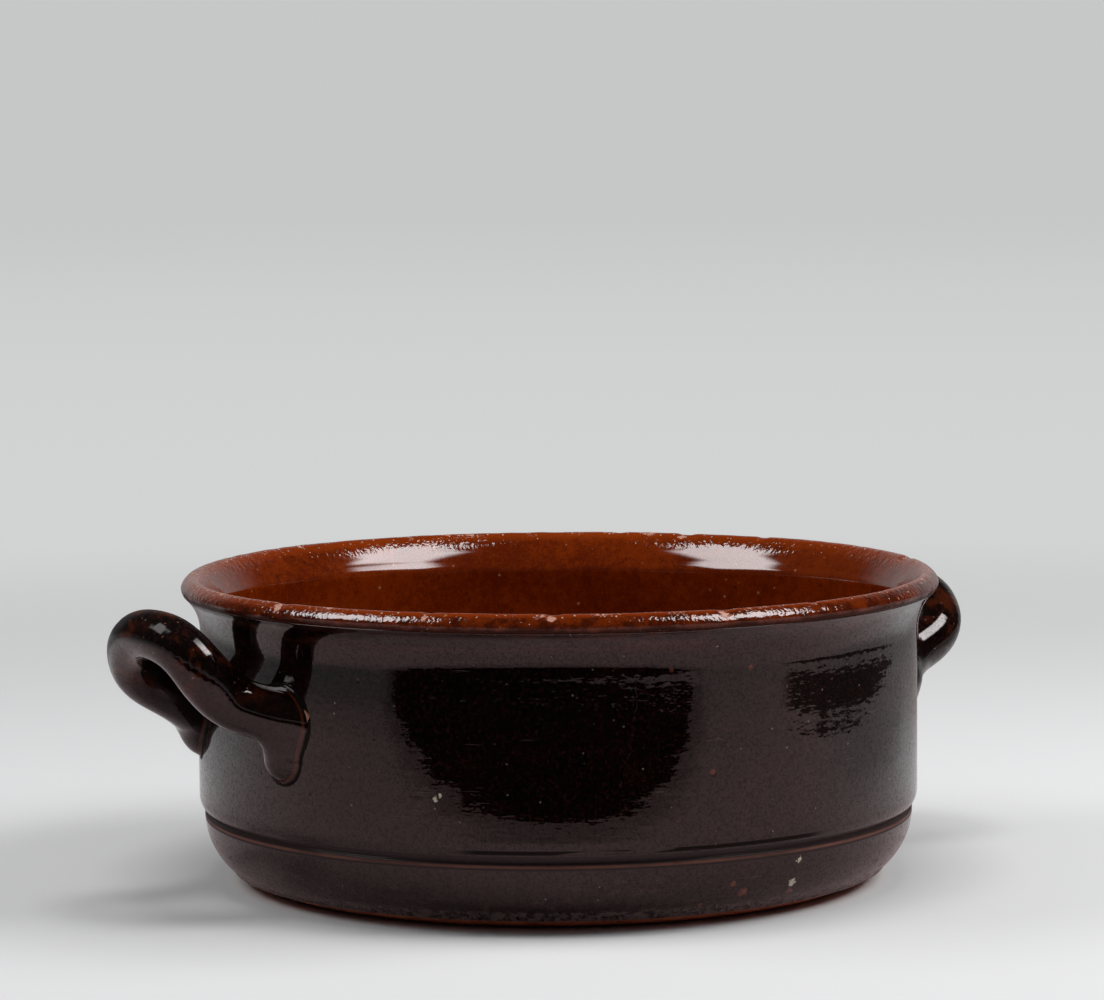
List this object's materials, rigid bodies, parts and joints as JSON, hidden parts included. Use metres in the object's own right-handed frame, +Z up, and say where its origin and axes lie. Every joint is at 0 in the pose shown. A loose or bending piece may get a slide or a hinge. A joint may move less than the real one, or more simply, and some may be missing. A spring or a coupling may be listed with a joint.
{
  "type": "two-handled earthenware pot",
  "caption": "Low round earthenware cooking pot with a flared lip, honey-glazed inside, dark-glazed outside, with raised coil loop handles luted to the wall for lifting.",
  "frame": {"origin": "centre of the flat base, on the floor", "axes": "+X through the right handle, -X through the left handle, -Y towards the front, +Z up the pot's axis"},
  "size_m": [0.3282, 0.26, 0.1046],
  "materials": {
    "terracotta": "bare fired red clay, matte",
    "slip": "fired luting slip, matte",
    "honey_glaze": "glossy translucent honey-brown glaze",
    "dark_glaze": "glossy brown-black glaze"
  },
  "bodies": {
    "root": {"clay_body": "terracotta", "inner_glaze": "honey_glaze", "outer_glaze": "dark_glaze", "left_handle": "terracotta", "left_handle_glaze": "dark_glaze", "left_front_slip": "slip", "left_back_slip": "slip", "right_handle": "terracotta", "right_handle_glaze": "dark_glaze", "right_front_slip": "slip", "right_back_slip": "slip"}
  },
  "joints": []
}
